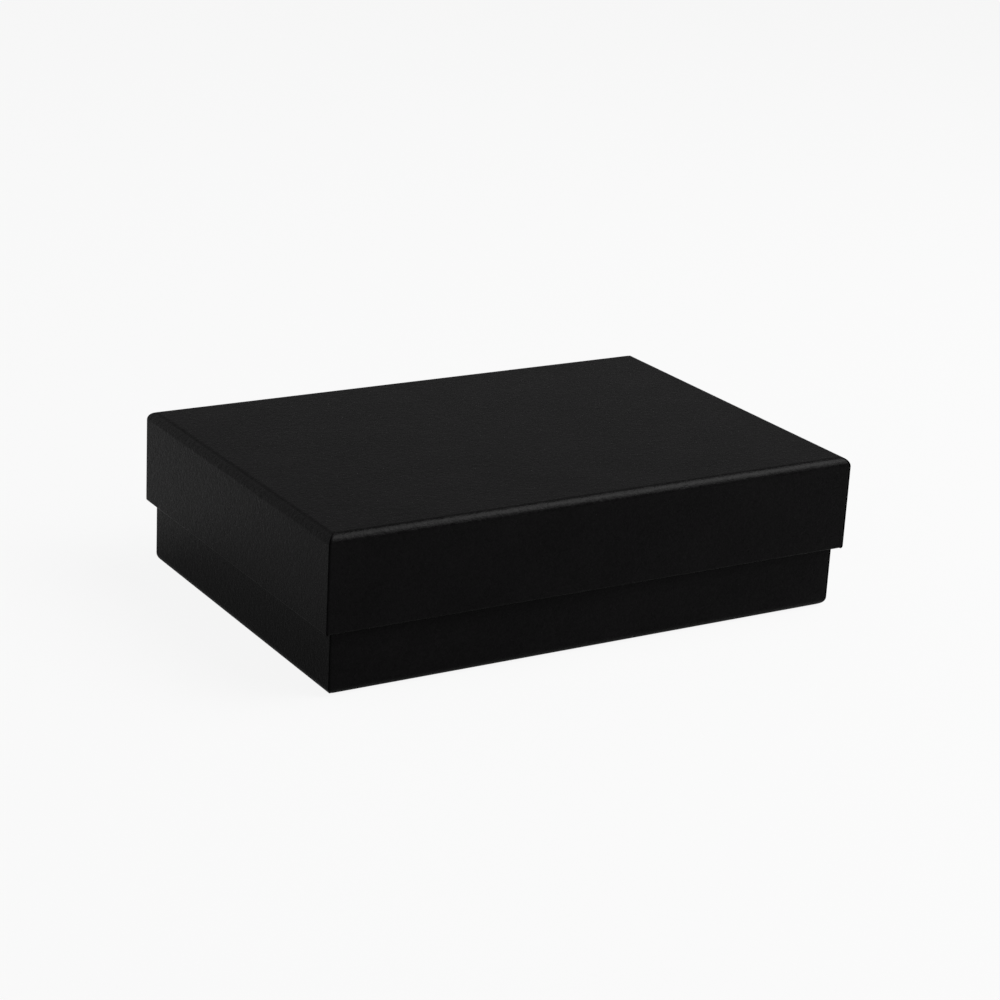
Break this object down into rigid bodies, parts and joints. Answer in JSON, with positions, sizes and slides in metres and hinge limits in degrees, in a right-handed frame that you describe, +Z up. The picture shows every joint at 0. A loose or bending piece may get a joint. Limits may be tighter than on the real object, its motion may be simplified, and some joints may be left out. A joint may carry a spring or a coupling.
{
  "type": "gift box",
  "caption": "Rectangular two-piece rigid gift box with a lift-off telescoping lid, folded from board and wrapped in matt black paper.",
  "frame": {"origin": "middle of the base's underside, on the surface the box stands on", "axes": "+X along the box's length, +Y from the front long side to the back, +Z up out of the lid's top"},
  "size_m": [0.165, 0.112, 0.045],
  "materials": {
    "cover_paper": "matte",
    "lining_paper": "matte",
    "greyboard": "matte",
    "stay_paper": "matte"
  },
  "bodies": {
    "base": {"base_board": "greyboard", "base_wrap": "cover_paper", "base_lining": "lining_paper", "base_stay_front_left": "stay_paper", "base_stay_front_right": "stay_paper", "base_stay_back_left": "stay_paper", "base_stay_back_right": "stay_paper"},
    "lid": {"lid_board": "greyboard", "lid_wrap": "cover_paper", "lid_lining": "lining_paper", "lid_stay_front_left": "stay_paper", "lid_stay_front_right": "stay_paper", "lid_stay_back_left": "stay_paper", "lid_stay_back_right": "stay_paper"}
  },
  "joints": [
    {"name": "lid_lift", "type": "slide", "parent": "base", "child": "lid", "axis": [0, 0, 1], "range_m": [0, 0.09]}
  ]
}
